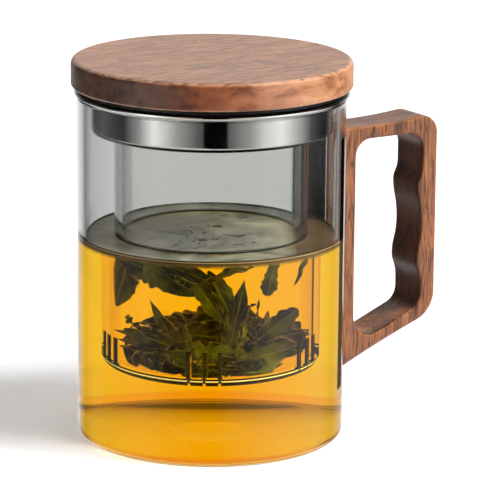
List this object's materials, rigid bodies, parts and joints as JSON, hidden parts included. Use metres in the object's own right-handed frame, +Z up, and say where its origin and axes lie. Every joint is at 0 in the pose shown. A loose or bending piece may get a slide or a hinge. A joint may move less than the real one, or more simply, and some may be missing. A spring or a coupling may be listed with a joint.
{
  "type": "lidded tea mug with infuser",
  "caption": "Straight glass tea mug with a wooden loop handle, a lift-out slotted glass infuser in a steel collar, and a turned wooden lid with a push-in seal.",
  "frame": {"origin": "centre of the plane that the base rests on, on the mug's axis", "axes": "+Z up along the mug's axis, +X towards the handle"},
  "size_m": [0.1285, 0.0898, 0.1232],
  "materials": {
    "glass": "clear, polished, faintly grey",
    "basket_glass": "clear, polished, ground slits",
    "walnut": "oiled satin, grain along the grip",
    "lid_walnut": "oiled satin, straight grain",
    "adhesive": "clear cured adhesive",
    "steel": "polished stainless steel",
    "silicone": "dark food-grade silicone"
  },
  "bodies": {
    "mug": {"mug_glass": "glass", "handle": "walnut", "handle_bond": "adhesive"},
    "infuser": {"collar": "steel", "basket_glass": "basket_glass", "basket_gasket": "silicone"},
    "lid": {"lid_disc": "lid_walnut", "lid_seal": "silicone"}
  },
  "joints": [
    {"name": "infuser_lift", "type": "slide", "parent": "mug", "child": "infuser", "axis": [0, 0, 1], "range_m": [0, 0.1]},
    {"name": "lid_lift", "type": "slide", "parent": "infuser", "child": "lid", "axis": [0, 0, 1], "range_m": [0, 0.05]}
  ]
}
